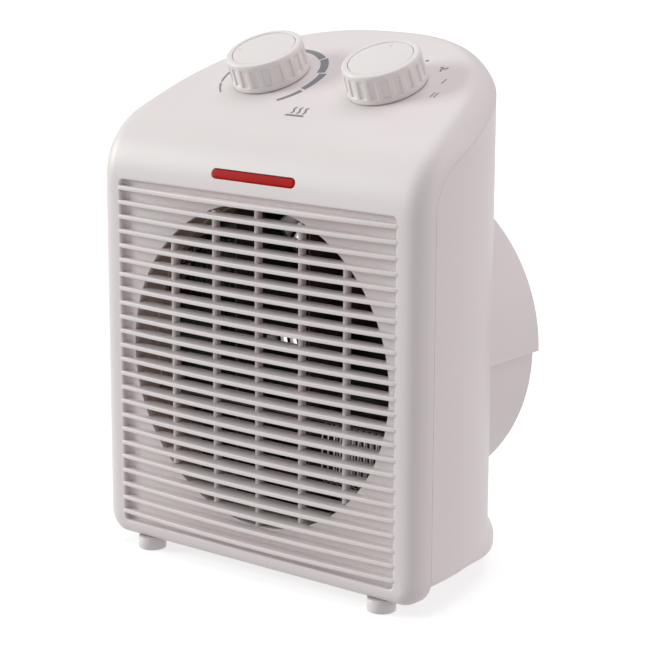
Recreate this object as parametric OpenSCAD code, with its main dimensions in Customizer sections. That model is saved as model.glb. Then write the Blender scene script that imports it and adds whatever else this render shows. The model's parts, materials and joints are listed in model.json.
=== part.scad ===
// Small upright fan heater. Millimetres, +Z up, front face towards -Y.
// The origin is on the floor, under the middle of the whole object.

/* [Body] */
// Width across the two side walls
body_w = 191.5; // [184:0.5:204]
// Depth from the front face to the back wall
body_d = 118; // [112:0.5:126]
// Height at which the front face starts to curve back
face_h = 182.2; // [179:0.2:187]
// Radius of the bend between the front face and the control panel
brow_r = 36.3; // [30:0.1:40]
// Slope of the control panel where it leaves the bend
panel_tilt = 25; // [22:0.5:28]
// Radius of the slight bow along the control panel
panel_bow = 1000; // [700:50:2000]
// Rolling radius of every outer edge
edge_r = 10.6; // [9:0.1:12]
// Wall thickness of the mouldings
wall = 2.4; // [2:0.1:2.8]
// Height of the front moulding's bottom edge
front_bottom = 6.1; // [5:0.1:8]
// Height of the rear moulding's bottom edge
rear_bottom = 14.4; // [12:0.1:15]
// Gap at the seam between the two mouldings
seam_gap = 0.3; // [0.2:0.05:0.5]

/* [Front grille] */
// Height of the fan and outlet axis
axis_h = 102.6; // [100:0.1:104]
// Radius of the round air outlet
outlet_r = 76.3; // [74:0.1:77]
// Half width of the recess that holds the grille
recess_half_w = 81.8; // [80:0.1:83]
// Top of the grille recess
recess_top = 184.3; // [183:0.1:186]
// Bottom of the grille recess
recess_bottom = 12.8; // [12:0.1:14]
// Depth of the grille recess
recess_d = 3.4; // [3:0.1:4]
// Number of horizontal blades
blade_count = 24; // [24:1:24]
// Pitch of the blades
blade_pitch = 7; // [6.8:0.05:7.1]
// Height of the lowest blade's middle
blade_first = 17.6; // [17:0.1:19]
// Thickness of a blade
blade_t = 2.1; // [1.8:0.1:2.6]
// Depth of a blade inside the outlet
blade_d = 6; // [5.5:0.5:9]
// Pitch of the upright bars
bar_pitch = 25.7; // [24:0.1:27]
// Width of an upright bar
bar_w = 2.5; // [2:0.1:3]

/* [Intake drum] */
// Outer radius of the drum at the back
drum_r = 79.6; // [79:0.1:80.5]
// Depth from the front face to the drum's back rim
drum_d = 114; // [113:0.5:115]
// How far the upper half of the drum stands out all round
hood_step = 2.1; // [1.5:0.1:2.5]
// Number of rings in the intake grille
ring_count = 9; // [8:1:10]

/* [Controls] */
// Distance of each knob from the middle plane
knob_x = 34.6; // [33:0.1:36]
// Depth of the knob axes at the panel surface
knob_y = 56.7; // [55:0.1:58]
// Radius of a knob at its base
knob_r = 19.7; // [18:0.1:20.5]
// Radius of a knob at its top
knob_top_r = 18.9; // [17:0.1:20]
// Height of a knob
knob_h = 14; // [12:0.1:16]
// Number of flutes round a knob
flute_count = 20; // [16:1:24]
// Angle of the thermostat pointer, clockwise from the back
thermostat_pointer = 255; // [235:1:300]
// Angle of the selector pointer, clockwise from the back
selector_pointer = 354; // [350:1:360]
// Radius of both control spindles
spindle_r = 3; // [2.5:0.1:3.2]

/* [Feet] */
// Distance of each front foot from the middle plane
foot_x = 70.6; // [66:0.1:72]
// Depth of the front feet's middles
foot_y = 7.3; // [7:0.1:9]
// Radius of a front foot
foot_r = 6.8; // [6:0.1:7]

/* [Fan and motor] */
// Tip radius of the fan
fan_r = 69; // [60:0.5:70]
// Number of fan blades
fan_blades = 5; // [4:1:7]
// Pitch angle of the fan blades
fan_pitch = 28; // [20:1:32]
// Radius of the motor shaft
shaft_r = 2; // [1.8:0.1:2.4]
// Radial clearance of each shaft in its bearing
running_clearance = 0.05; // [0.02:0.01:0.08]

/* [Hidden] */
$fn = 96;

// Colours
shell_white = [0.90, 0.88, 0.89];
lens_red = [0.75, 0.05, 0.05];
steel = [0.72, 0.73, 0.75];
dark_steel = [0.35, 0.36, 0.38];
mica_tan = [0.70, 0.58, 0.42];
coil_silver = [0.80, 0.80, 0.78];
copper = [0.72, 0.40, 0.22];
brass = [0.80, 0.66, 0.35];
black_plastic = [0.08, 0.08, 0.09];
cream_plastic = [0.86, 0.82, 0.72];
rubber_grey = [0.25, 0.25, 0.26];

// Whole object: the hood is the rearmost part, and the middle of the depth is at Y = 0.
small = 0.01;
reach = 300;
past = 1;
hole_gap = 0.1;
thread_gap = 0.05;
hood_d = drum_d + hood_step;
total_d = max(body_d, hood_d);
front_y = -total_d / 2;

// Body outline: centres of the rolling radius, as depth behind the front centre line
plan_power_y = 2.25;
plan_power_x = 2.5;
core_half_w = body_w / 2 - edge_r;
core_d = body_d - 2 * edge_r;
core_brow_r = brow_r - edge_r;
brow_steps = 5;
side_steps = 12;
brow_end_y = core_brow_r * (1 - sin(panel_tilt));
brow_end_z = face_h + core_brow_r * cos(panel_tilt);

function core_x(y) = core_half_w * pow(1 - pow(min(y / core_d, 1), plan_power_y), 1 / plan_power_x);
function core_z(y) =
    y < brow_end_y
        ? face_h + sqrt(pow(core_brow_r, 2) - pow(core_brow_r - y, 2))
        : brow_end_z + tan(panel_tilt) * (y - brow_end_y) - pow(y - brow_end_y, 2) / (2 * panel_bow);
brow_ys = [for (i = [0:brow_steps]) core_brow_r * (1 - cos(i * (90 - panel_tilt) / brow_steps))];
side_ys = [for (i = [1:side_steps]) brow_end_y + (core_d - brow_end_y) * sin(i * 90 / side_steps)];
stations = concat(brow_ys, side_ys);

// Control panel frame: its surface at the knobs
panel_slope = atan(tan(panel_tilt) - (knob_y - edge_r - brow_end_y) / panel_bow);
panel_z = core_z(knob_y - edge_r) + edge_r / cos(panel_slope);

// Front moulding
front_corner_r = 12;
panel_back = recess_d + wall;
grille_gap = 0.2;
rail_w = 1.2;
rail_front = 1.6;
rail_h = (blade_count - 1) * blade_pitch;

// Indicator lens
lens_w = 47.8;
lens_h = 4.1;
lens_z = 191.8;
lens_lip = 2;
lens_flange_t = 1.2;
lens_proud = 0.3;
lens_tilt = asin((lens_z - face_h) / brow_r);
lens_y = brow_r * (1 - cos(lens_tilt));
lamp_y = 6.8;
lamp_l = 14;
lamp_r = 2.4;
lamp_base = [3, 4.8, 5.2];

// Case bosses and screws
boss_x = 72;
boss_low = 25.6;
boss_high = 185.6;
boss_split = 45;
boss_r = 4.2;
boss_floor = 5;
screw_r = 1.9;
screw_core_r = 1.6;
screw_head_r = 3.4;
screw_head_h = 2.2;
screw_tip_gap = 4;

// Rear skirt and feet
skirt_r = 10;
skirt_z = 16;
skirt_out = 5;
rear_foot_x = 46;
rear_foot_y = 92;
rear_foot_r = 8;
foot_peg_r = 2;
foot_top = front_bottom + wall + 1;
rear_foot_top = 9;
foot_socket_gap = 0.15;

// Cord gland
gland_x = -56;
gland_z = 27.6;
gland_y = 82;
gland_l = 24;
gland_r = 5.5;
gland_flange_r = 8;
cord_bore_r = 3.2;

// Depths of the inner parts behind the front face
duct_front = 6.2;
duct_back = 35;
duct_r = 77.2;
duct_t = 0.6;
drum_front = 46;
element_y = 15;
element_d = 22;
board_r = 75.2;
board_t = 0.8;
board_x = 22;
board_z = 22.5;
side_board_x = 44;
winding_r = 73.5;
winding_inner = 24;
winding_outer = 54;
winding_depth = 12;
winding_t = 0.6;
cutout_place = [12, 8];
cutout_r = 8;
cutout_h = 4;
cutout_cap_r = 5;
cutout_cap_h = 1.5;
cutout_gap = 0.2;
fuse_place = [-34, 24];
fuse_r = 2;
fuse_l = 11;
fuse_gap = 3;
lead_r = 0.5;
lead_l = 8;
shroud_front = 35.6;
shroud_back = 71.1;
shroud_r = 76.9;
shroud_t = 1.2;
hoop_r = 76.2;
hoop_t = 0.6;
hoop_inset = 4;
fan_y = 50;
hub_r = 13;
hub_d = 16;
hub_wall = 2;
blade_root_inset = 1.5;
blade_shoulder = 16;
blade_sheet_t = 1.6;
blade_root_w = 24;
blade_tip_w = 50;
mount_y = 73;
mount_t = 2.5;
mount_ring_r = 76.9;
mount_ring_w = 7;
mount_plate_r = 32;
mount_arm_w = 10;
mount_bore_gap = 1.5;
lug_r = 3.4;
lug_ring_r = 74.2;
lug_d = 12;
mount_screw_r = 1.4;
mount_head_r = 2.8;
mount_head_h = 1.6;
lug_floor = 2;
bracket_y = 78;
motor_bracket_t = 2;
motor_bracket_w = 16;
motor_bracket_half = 27;
bearing_seat_w = 5;
spacer_r = 3.4;
spacer_gap = 0.05;
stator_y = 84;
stator_d = 15;
stator_half_w = 28;
stator_top = 22;
stator_base = 42;
window_top = 16;
window_base = 36;
window_x = 20;
core_leg_half = 7;
winding_overhang = 5;
winding_gap = 0.4;
winding_leg_gap = 0.2;
rear_bracket_y = 102;
rotor_r = 12;
air_gap = 0.4;
bearing_r = 4.5;
bearing_d = 6;
bearing_gap = 0.02;
motor_screw_x = 23;
motor_screw_r = 1.8;
motor_head_r = 3.2;
motor_head_h = 2;
motor_nut_h = 1.8;
shaft_front = 45;
shaft_l = 64;
nut_d = 3.5;
fan_nut_r = 4.2;
grille_t = 3;
grille_back = drum_d - 1;
grille_r = drum_r - wall - 0.3;
grille_hub_r = 15;
ring_w = 2;
spoke_count = 12;
spoke_w = 2.4;
spoke_step = 1;

// Controls, in the frame of a knob axis: Z = 0 is the panel surface
knob_gap = 0.6;
knob_wall = 2.4;
knob_groove_r = 15.6;
knob_cap_t = 1.2;
cap_gap = 0.2;
pointer_ring_r = 11.6;
pointer_r = 1.3;
flute_r = 2;
flute_low = 2.6;
flute_high = 3.2;
panel_hole_r = 5.5;
bracket_z = -7.2;
bracket_t = 1.2;
bracket_half_l = 62;
bracket_half_w = 13;
bracket_boss_r = 3.4;
bracket_screw_xs = [-56, 0, 56];
bracket_screw_l = 3.5;
bracket_head_r = 3;
bracket_head_h = 1.8;
bush_r = 4.7;
bush_top = -2.6;
nut_r = 7;
nut_t = 2.6;
spindle_low = -16;
spindle_top = 9.2;
thermostat_r = 12.5;
thermostat_h = 12;
switch_half = 13;
switch_h = 16;
thermostat_tab_x = 6;
switch_tab_x = 7;
tab_w = 6.3;
tab_t = 0.8;
tab_l = 8;

// Inner wiring: the mains wire from the gland, and the element wires
wire_r = 1.4;
bead_extra = 0.2;
mains_route = [
    [gland_x, 78, gland_z], [-66, 55, 38.6], [-86, 35, 61.6],
    [-86, 35, 173.6], [-84, 42, 198.6], [-44, 46, 204.6]
];
terminal_y = 20;
terminal_size = [26, 14, 9];

module from_front() translate([0, front_y, 0]) children();

// Puts +Z along the knob axes, with the origin on the panel surface at x
module panel_frame(x) translate([x, knob_y, panel_z]) rotate([panel_slope, 0, 0]) children();

module on_panel(x) from_front() panel_frame(x) children();

// Puts +Z along depth, with the origin on the outlet axis at depth y
module axis_frame(y) translate([0, y, axis_h]) rotate([-90, 0, 0]) children();

module on_axis(y) from_front() axis_frame(y) children();

module tube(h, r, bore) difference() {
    cylinder(h = h, r = r);
    translate([0, 0, -small]) cylinder(h = h + 2 * small, r = bore);
}

// Straight wire between two points, with a bead at the second where the next one joins
module wire(a, b, r) {
    v = b - a;
    length = norm(v);
    translate(a)
        rotate([0, acos(v[2] / length), atan2(v[1], v[0])])
            cylinder(h = length, r = r, $fn = 24);
    translate(b) sphere(r + bead_extra, $fn = 24);
}

// The body's convex form: every edge rolled to radius r about the same centres
module body_form(r, bottom) hull()
    for (y = stations, side = [-1, 1])
        translate([side * core_x(y), edge_r + y, 0]) {
            translate([0, 0, core_z(y)]) sphere(r, $fn = 24);
            translate([0, 0, bottom]) cylinder(h = small, r = r, $fn = 24);
        }

// Everything in front of the seam and above it. A positive gap makes it smaller.
module front_zone(gap) translate([-reach / 2, 0, 0]) rotate([90, 0, 90]) linear_extrude(reach)
    polygon(concat(
        [[-reach, -reach], [edge_r - gap, -reach]],
        [for (y = brow_ys) [edge_r + y - gap, core_z(y) + gap]],
        [for (y = side_ys) [edge_r + y - gap, core_z(y) + gap]],
        [[reach, core_z(core_d) + gap], [reach, reach * 2], [-reach, reach * 2]]
    ));

// Front view of the body with its two lower corners rounded, inset by a wall
module front_view(inset) {
    r = front_corner_r - inset;
    half = body_w / 2 - front_corner_r;
    low = front_bottom + front_corner_r;
    rotate([90, 0, 0]) linear_extrude(2 * reach, center = true) {
        translate([-half - r, low]) square([2 * (half + r), reach]);
        translate([-half, low - r]) square([2 * half, r + small]);
        for (side = [-1, 1]) translate([side * half, low]) circle(r);
    }
}

module at_case_bosses() for (x = [-boss_x, boss_x], z = [boss_low, boss_high])
    translate([x, 0, z]) rotate([-90, 0, 0]) children();

module at_front_feet() for (x = [-foot_x, foot_x]) translate([x, foot_y, 0]) children();

module at_rear_feet() for (x = [-rear_foot_x, rear_foot_x]) translate([x, rear_foot_y, 0]) children();

module at_lugs() for (i = [0:3]) rotate(45 + 90 * i) translate([lug_ring_r, 0, 0]) children();

// The lens outline through the wall, grown by gap
module lens_bar(front, d, gap) {
    half = (lens_w - lens_h) / 2;
    for (side = [-1, 1])
        translate([side * half, front, 0]) rotate([-90, 0, 0]) cylinder(h = d, r = lens_h / 2 + gap);
    translate([-half, front, -lens_h / 2 - gap]) cube([2 * half, d, lens_h + 2 * gap]);
}

module lens_frame() translate([0, lens_y, lens_z]) rotate([-lens_tilt, 0, 0]) children();

module front_shell() color(shell_white) from_front() difference() {
    union() {
        intersection() {
            difference() {
                intersection() {
                    body_form(edge_r, front_bottom);
                    front_view(0);
                }
                intersection() {
                    body_form(edge_r - wall, front_bottom + wall);
                    front_view(wall);
                }
            }
            front_zone(0);
        }
        translate([-recess_half_w - wall, wall / 2, recess_bottom - wall / 2])
            cube([2 * (recess_half_w + wall), panel_back - wall / 2, recess_top - recess_bottom + wall]);
        at_case_bosses() translate([0, 0, wall]) cylinder(h = boss_split - wall - seam_gap, r = boss_r);
        panel_frame(0) for (x = bracket_screw_xs) translate([x, 0, bracket_z + bracket_t])
            cylinder(h = -bracket_z - bracket_t - wall / 2, r = bracket_boss_r);
    }
    translate([-recess_half_w, -small, recess_bottom])
        cube([2 * recess_half_w, recess_d + small, recess_top - recess_bottom]);
    translate([0, -small, axis_h]) rotate([-90, 0, 0]) cylinder(h = 2 * panel_back, r = outlet_r);
    at_case_bosses() translate([0, 0, boss_split / 2]) cylinder(h = boss_split, r = screw_r);
    lens_frame() lens_bar(-wall, 4 * wall, seam_gap / 2);
    for (x = [-knob_x, knob_x]) panel_frame(x) cylinder(h = 4 * wall, r = panel_hole_r, center = true);
    panel_frame(0) for (x = bracket_screw_xs) translate([x, 0, bracket_z])
        cylinder(h = bracket_screw_l + past / 2, r = screw_core_r);
    at_front_feet() cylinder(h = foot_top + past, r = foot_peg_r + foot_socket_gap);
}

module front_grille() color(shell_white) from_front() {
    for (i = [0:blade_count - 1])
        translate([-recess_half_w + grille_gap, 0, blade_first + i * blade_pitch - blade_t / 2])
            cube([2 * (recess_half_w - grille_gap), recess_d - grille_gap, blade_t]);
    for (side = [-1, 1])
        translate([side * (recess_half_w - grille_gap - rail_w / 2), rail_front, blade_first + rail_h / 2])
            translate([-rail_w / 2, 0, -rail_h / 2])
                cube([rail_w, recess_d - grille_gap - rail_front, rail_h]);
    intersection() {
        union() {
            for (i = [0:blade_count - 1])
                translate([-outlet_r, 0, blade_first + i * blade_pitch - blade_t / 2])
                    cube([2 * outlet_r, blade_d, blade_t]);
            for (i = [-2:2])
                translate([i * bar_pitch - bar_w / 2, recess_d, axis_h - outlet_r])
                    cube([bar_w, blade_d - recess_d, 2 * outlet_r]);
        }
        axis_frame(-small) cylinder(h = 2 * blade_d, r = outlet_r - grille_gap);
    }
}

module indicator_lens() color(lens_red) from_front() lens_frame() {
    lens_bar(-lens_proud, wall + 2 * lens_proud, 0);
    translate([-lens_w / 2 - lens_lip, wall + lens_proud, -lens_h / 2 - lens_lip / 2])
        cube([lens_w + 2 * lens_lip, lens_flange_t, lens_h + lens_lip]);
}

module indicator_lamp() color("orange") from_front() lens_frame() translate([0, lamp_y, 0]) {
    translate([-lamp_l / 2 - small, 0, 0]) rotate([0, 90, 0]) cylinder(h = lamp_l + small, r = lamp_r);
    translate([-lamp_l / 2 - lamp_base[0], -lamp_base[1] / 2, -lamp_base[2] / 2]) cube(lamp_base);
}

// The bead round the foot of the back wall grows out of the wall from half way back.
module rear_skirt() hull()
    for (y = [for (y = side_ys) if (y > core_d / 3) y], side = [-1, 1]) {
        grow = skirt_out * min(1, 2 * (y / core_d - 1 / 3));
        spread = 1 + grow / core_half_w;
        translate([side * core_x(y) * spread, edge_r + y, skirt_z])
            sphere(skirt_r, $fn = 20);
    }

module drum() axis_frame(drum_front) {
    cylinder(h = drum_d - drum_front, r = drum_r);
    intersection() {
        cylinder(h = hood_d - drum_front, r = drum_r + hood_step);
        translate([-reach / 2, -reach, 0]) cube(reach);
    }
}

module rear_casing() difference() {
    union() {
        difference() {
            union() {
                body_form(edge_r, rear_bottom);
                rear_skirt();
            }
            body_form(edge_r - wall, rear_bottom + wall);
            front_zone(-seam_gap);
        }
        drum();
        intersection() {
            at_case_bosses() translate([0, 0, boss_split]) cylinder(h = body_d, r = boss_r);
            body_form(edge_r - wall / 2, rear_bottom);
        }
    }
    axis_frame(drum_front - small) cylinder(h = reach, r = drum_r - wall);
    at_case_bosses() {
        translate([0, 0, boss_split - small]) cylinder(h = 2 * boss_floor, r = screw_r + foot_socket_gap);
        translate([0, 0, boss_split + boss_floor]) cylinder(h = reach, r = screw_head_r);
    }
    at_rear_feet() cylinder(h = rear_foot_top, r = rear_foot_r + foot_socket_gap);
    translate([gland_x, gland_y - gland_l, gland_z]) rotate([-90, 0, 0])
        cylinder(h = 2 * gland_l, r = gland_r + foot_socket_gap);
}

module rear_shell() color(shell_white) from_front() {
    rear_casing();
    drum_lugs();
}

// Posts on the drum's inner wall that the motor mount screws to
module drum_lugs() axis_frame(mount_y + mount_t) at_lugs() difference() {
    cylinder(h = lug_d, r = lug_r + small);
    translate([0, 0, -small]) cylinder(h = lug_d - lug_floor, r = mount_screw_r);
}

module intake_grille() color(shell_white) on_axis(grille_back - grille_t) {
    tube(grille_t, grille_r, grille_r - ring_w);
    cylinder(h = grille_t, r = grille_hub_r);
    pitch = (grille_r - grille_hub_r) / (ring_count + 1);
    for (i = [1:ring_count]) tube(grille_t, grille_hub_r + i * pitch, grille_hub_r + i * pitch - ring_w);
    for (i = [0:spoke_count - 1]) rotate(i * 360 / spoke_count)
        translate([grille_hub_r - past, -spoke_w / 2, 0])
            cube([grille_r - grille_hub_r, spoke_w, grille_t - spoke_step]);
}

module front_feet() color(shell_white) from_front() at_front_feet() {
    cylinder(h = front_bottom, r = foot_r);
    cylinder(h = foot_top, r = foot_peg_r);
}

module rear_feet() color(rubber_grey) from_front() at_rear_feet()
    cylinder(h = rear_foot_top - foot_socket_gap, r = rear_foot_r);

module cord_gland() color(shell_white) from_front()
    translate([gland_x, gland_y, gland_z]) rotate([-90, 0, 0]) difference() {
        union() {
            cylinder(h = gland_l, r = gland_r);
            cylinder(h = wall, r = gland_flange_r);
        }
        translate([0, 0, -past]) cylinder(h = gland_l + 2 * past, r = cord_bore_r);
    }

module case_screws() color(steel) from_front() at_case_bosses() {
    translate([0, 0, boss_split / 2 + screw_tip_gap])
        cylinder(h = boss_split / 2 + boss_floor - screw_tip_gap, r = screw_r - thread_gap);
    translate([0, 0, boss_split + boss_floor]) cylinder(h = screw_head_h, r = screw_head_r - hole_gap);
}

module air_duct() color(steel) on_axis(duct_front) tube(duct_back - duct_front, duct_r, duct_r - duct_t);

// Lattice of upright and level boards, edge-on to the air, with a half board in two of its corners
module mica_boards() color(mica_tan) on_axis(element_y) intersection() {
    cylinder(h = element_d, r = board_r);
    union() {
        for (side = [-1, 1]) {
            translate([side * board_x - board_t / 2, -board_r, 0]) cube([board_t, 2 * board_r, element_d]);
            translate([-board_r, side * board_z - board_t / 2, 0]) cube([2 * board_r, board_t, element_d]);
            translate([-side * side_board_x - board_t / 2, side > 0 ? board_z : -board_r, 0])
                cube([board_t, board_r - board_z, element_d]);
        }
    }
}

// One winding per heat setting: each thin sleeve stands for wire wound flat between two boards.
module heating_coils() color(coil_silver) on_axis(element_y + (element_d - winding_depth) / 2)
    for (turn = [0, 180]) rotate(turn) difference() {
        winding_body(0);
        translate([0, 0, winding_t]) winding_body(winding_t);
    }

module winding_body(inset) intersection() {
    cylinder(h = winding_depth - 2 * inset, r = winding_r - inset);
    translate([winding_inner - inset, winding_inner + inset, 0])
        cube([board_r, winding_outer - winding_inner - 2 * inset, winding_depth]);
}

module element_hoop() color(steel) on_axis(element_y + hoop_inset)
    tube(element_d - 2 * hoop_inset, hoop_r, hoop_r - hoop_t);

module fan_shroud() color(black_plastic) on_axis(shroud_front)
    tube(shroud_back - shroud_front, shroud_r, shroud_r - shroud_t);

module thermal_cutout() color(black_plastic) on_axis(element_y + element_d + cutout_gap)
    translate(cutout_place) {
        cylinder(h = cutout_h, r = cutout_r);
        translate([0, 0, cutout_h]) cylinder(h = cutout_cap_h, r = cutout_cap_r);
    }

module thermal_fuse() color(coil_silver) on_axis(element_y + element_d + fuse_gap)
    translate(fuse_place) rotate([0, 90, 0]) {
        cylinder(h = fuse_l, r = fuse_r);
        translate([0, 0, -lead_l]) cylinder(h = fuse_l + 2 * lead_l, r = lead_r);
    }

// Ceramic block on top of the duct with its two brass tabs
module element_terminals() color(cream_plastic) from_front()
    translate([0, terminal_y + terminal_size[1] / 2, axis_h + duct_r + 0.3]) {
        translate([-terminal_size[0] / 2, -terminal_size[1] / 2, 0]) cube(terminal_size);
        for (x = [-tab_w, tab_w]) translate([x - tab_w / 2, -tab_t / 2, terminal_size[2]])
            cube([tab_w, tab_t, tab_l]);
    }

module motor_mount() color(black_plastic) on_axis(mount_y) linear_extrude(mount_t) difference() {
    union() {
        difference() {
            circle(mount_ring_r);
            circle(mount_ring_r - mount_ring_w);
        }
        circle(mount_plate_r);
        for (i = [0:3]) rotate(45 + 90 * i) translate([0, -mount_arm_w / 2])
            square([mount_ring_r - mount_ring_w / 2, mount_arm_w]);
    }
    circle(bearing_r + mount_bore_gap);
    at_lugs() circle(mount_screw_r + 2 * hole_gap);
    for (x = [-motor_screw_x, motor_screw_x]) translate([x, 0]) circle(motor_screw_r + hole_gap);
}

module mount_screws() color(steel) on_axis(mount_y) at_lugs() {
    translate([0, 0, -mount_head_h]) cylinder(h = mount_head_h, r = mount_head_r);
    translate([0, 0, -small]) cylinder(h = mount_t + lug_d - 2 * lug_floor, r = mount_screw_r - thread_gap);
}

// Bar with a bearing housing in the middle. The spacers stand on its front face.
module motor_bracket(spacer) difference() {
    union() {
        translate([-motor_bracket_half, -motor_bracket_w / 2, 0])
            cube([2 * motor_bracket_half, motor_bracket_w, motor_bracket_t]);
        cylinder(h = motor_bracket_t, r = bearing_r + bearing_seat_w);
        if (spacer > 0) for (x = [-motor_screw_x, motor_screw_x])
            translate([x, 0, -spacer]) cylinder(h = spacer + small, r = spacer_r);
    }
    translate([0, 0, -past]) cylinder(h = motor_bracket_t + 2 * past, r = bearing_r);
    for (x = [-motor_screw_x, motor_screw_x]) translate([x, 0, -spacer - past])
        cylinder(h = spacer + motor_bracket_t + 2 * past, r = motor_screw_r + hole_gap);
}

module front_bracket() color(dark_steel) on_axis(bracket_y)
    motor_bracket(bracket_y - mount_y - mount_t - spacer_gap);

module rear_bracket() color(dark_steel) on_axis(rear_bracket_y) motor_bracket(0);

module bearings() color(brass) for (y = [bracket_y, rear_bracket_y])
    on_axis(y - (bearing_d - motor_bracket_t) / 2)
        tube(bearing_d, bearing_r - bearing_gap, shaft_r + running_clearance);

// Laminations: the rotor turns in the bore, and the winding sits round the leg below it.
module motor_stator() color(dark_steel) on_axis(stator_y) difference() {
    translate([-stator_half_w, -stator_top, 0])
        cube([2 * stator_half_w, stator_top + stator_base, stator_d]);
    translate([0, 0, -past]) cylinder(h = stator_d + 2 * past, r = rotor_r + air_gap);
    for (side = [-1, 1]) translate([side * (core_leg_half + window_x) / 2, (window_top + window_base) / 2, 0])
        cube([window_x - core_leg_half, window_base - window_top, 3 * stator_d], center = true);
    for (x = [-motor_screw_x, motor_screw_x]) translate([x, 0, -past])
        cylinder(h = stator_d + 2 * past, r = motor_screw_r + hole_gap);
}

module motor_winding() color(copper) on_axis(stator_y) difference() {
    translate([-window_x + winding_gap, window_top + winding_gap, -winding_overhang])
        cube([2 * (window_x - winding_gap), window_base - window_top - 2 * winding_gap,
            stator_d + 2 * winding_overhang]);
    translate([-core_leg_half - winding_leg_gap, 0, -winding_leg_gap])
        cube([2 * (core_leg_half + winding_leg_gap), stator_base, stator_d + 2 * winding_leg_gap]);
}

module motor_screws() color(steel) on_axis(mount_y - motor_head_h)
    for (x = [-motor_screw_x, motor_screw_x]) translate([x, 0, 0]) {
        clamped = rear_bracket_y + motor_bracket_t - mount_y + motor_head_h;
        cylinder(h = motor_head_h, r = motor_head_r);
        cylinder(h = clamped + motor_nut_h, r = motor_screw_r);
        translate([0, 0, clamped]) cylinder(h = motor_nut_h, r = motor_head_r, $fn = 6);
    }

module motor_shaft() color(steel) on_axis(shaft_front) cylinder(h = shaft_l, r = shaft_r);

module motor_rotor() color(dark_steel) on_axis(stator_y) tube(stator_d, rotor_r, shaft_r);

// One blade, lying along +X from the hub and turned to its pitch
module fan_blade() intersection() {
    translate([hub_r - blade_root_inset, 0, hub_d / 2]) rotate([fan_pitch, 0, 0])
        translate([0, 0, -blade_sheet_t / 2]) linear_extrude(blade_sheet_t)
            polygon([[0, -blade_root_w / 2], [fan_r - hub_r - blade_shoulder, -blade_tip_w / 2],
                [fan_r, -blade_tip_w / 3], [fan_r, blade_tip_w / 3],
                [fan_r - hub_r - blade_shoulder, blade_tip_w / 2], [0, blade_root_w / 2]]);
    translate([0, 0, -hub_d]) cylinder(h = 3 * hub_d, r = fan_r);
}

module fan() color(black_plastic) on_axis(fan_y) difference() {
    union() {
        difference() {
            cylinder(h = hub_d, r = hub_r);
            translate([0, 0, hub_wall]) tube(hub_d, hub_r - hub_wall, 2 * shaft_r);
        }
        for (i = [0:fan_blades - 1]) rotate(i * 360 / fan_blades) difference() {
            fan_blade();
            translate([0, 0, -small]) cylinder(h = hub_d, r = hub_r - hub_wall);
        }
    }
    translate([0, 0, -past]) cylinder(h = hub_d + 2 * past, r = shaft_r);
}

module fan_nut() color(brass) on_axis(fan_y - nut_d) difference() {
    cylinder(h = nut_d, r = fan_nut_r, $fn = 6);
    translate([0, 0, -past]) cylinder(h = nut_d + 2 * past, r = shaft_r);
}

module control_bracket() color(steel) on_panel(0) difference() {
    translate([-bracket_half_l, -bracket_half_w, bracket_z])
        cube([2 * bracket_half_l, 2 * bracket_half_w, bracket_t]);
    translate([0, 0, bracket_z - past]) {
        for (x = [-knob_x, knob_x]) translate([x, 0, 0])
            cylinder(h = bracket_t + 2 * past, r = bush_r + hole_gap);
        for (x = bracket_screw_xs) translate([x, 0, 0])
            cylinder(h = bracket_t + 2 * past, r = screw_core_r + 2 * hole_gap);
    }
}

module bracket_screws() color(steel) on_panel(0) for (x = bracket_screw_xs) {
    translate([x, 0, bracket_z - bracket_head_h]) cylinder(h = bracket_head_h, r = bracket_head_r);
    translate([x, 0, bracket_z - small]) cylinder(h = bracket_screw_l, r = screw_core_r - thread_gap);
}

// Round bush that carries a spindle through the bracket, with its bore
module bushed_body(depth) difference() {
    union() {
        children();
        translate([0, 0, bracket_z - small]) cylinder(h = bush_top - bracket_z, r = bush_r);
    }
    translate([0, 0, bracket_z - depth]) cylinder(h = 2 * depth, r = spindle_r + running_clearance);
}

module contact_tabs(low, spread) for (x = [-spread, spread])
    translate([x - tab_w / 2, -tab_t / 2, low - tab_l]) cube([tab_w, tab_t, tab_l + small]);

module thermostat() color(cream_plastic) on_panel(-knob_x) bushed_body(thermostat_h - 2) {
    translate([0, 0, bracket_z - thermostat_h]) cylinder(h = thermostat_h, r = thermostat_r);
    contact_tabs(bracket_z - thermostat_h, thermostat_tab_x);
}

module selector_switch() color(black_plastic) on_panel(knob_x) bushed_body(thermostat_h - 2) {
    translate([-switch_half, -switch_half, bracket_z - switch_h])
        cube([2 * switch_half, 2 * switch_half, switch_h]);
    contact_tabs(bracket_z - switch_h, switch_tab_x);
}

module bush_nut(x) on_panel(x) translate([0, 0, bracket_z + bracket_t]) difference() {
    cylinder(h = nut_t, r = nut_r, $fn = 6);
    translate([0, 0, -past]) cylinder(h = nut_t + 2 * past, r = bush_r);
}

module thermostat_nut() color(brass) bush_nut(-knob_x);

module selector_nut() color(brass) bush_nut(knob_x);

module spindle(x) on_panel(x) translate([0, 0, spindle_low])
    cylinder(h = spindle_top - spindle_low, r = spindle_r);

module thermostat_spindle() color(steel) spindle(-knob_x);

module selector_spindle() color(steel) spindle(knob_x);

// Knob skirt with flutes, a seat for its cap and a boss on the spindle
module knob(x) on_panel(x) translate([0, 0, knob_gap]) difference() {
    cylinder(h = knob_h, r1 = knob_r, r2 = knob_top_r);
    translate([0, 0, -small]) tube(knob_h - 2 * knob_wall, knob_r - 2 * knob_wall, 2 * spindle_r);
    translate([0, 0, -past]) cylinder(h = spindle_top - knob_gap + past, r = spindle_r);
    translate([0, 0, knob_h - knob_cap_t - cap_gap]) cylinder(h = knob_h, r = knob_groove_r);
    for (i = [0:flute_count - 1]) rotate(i * 360 / flute_count)
        translate([knob_r + flute_r / 2, 0, flute_low])
            cylinder(h = knob_h - flute_low - flute_high, r = flute_r);
}

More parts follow.
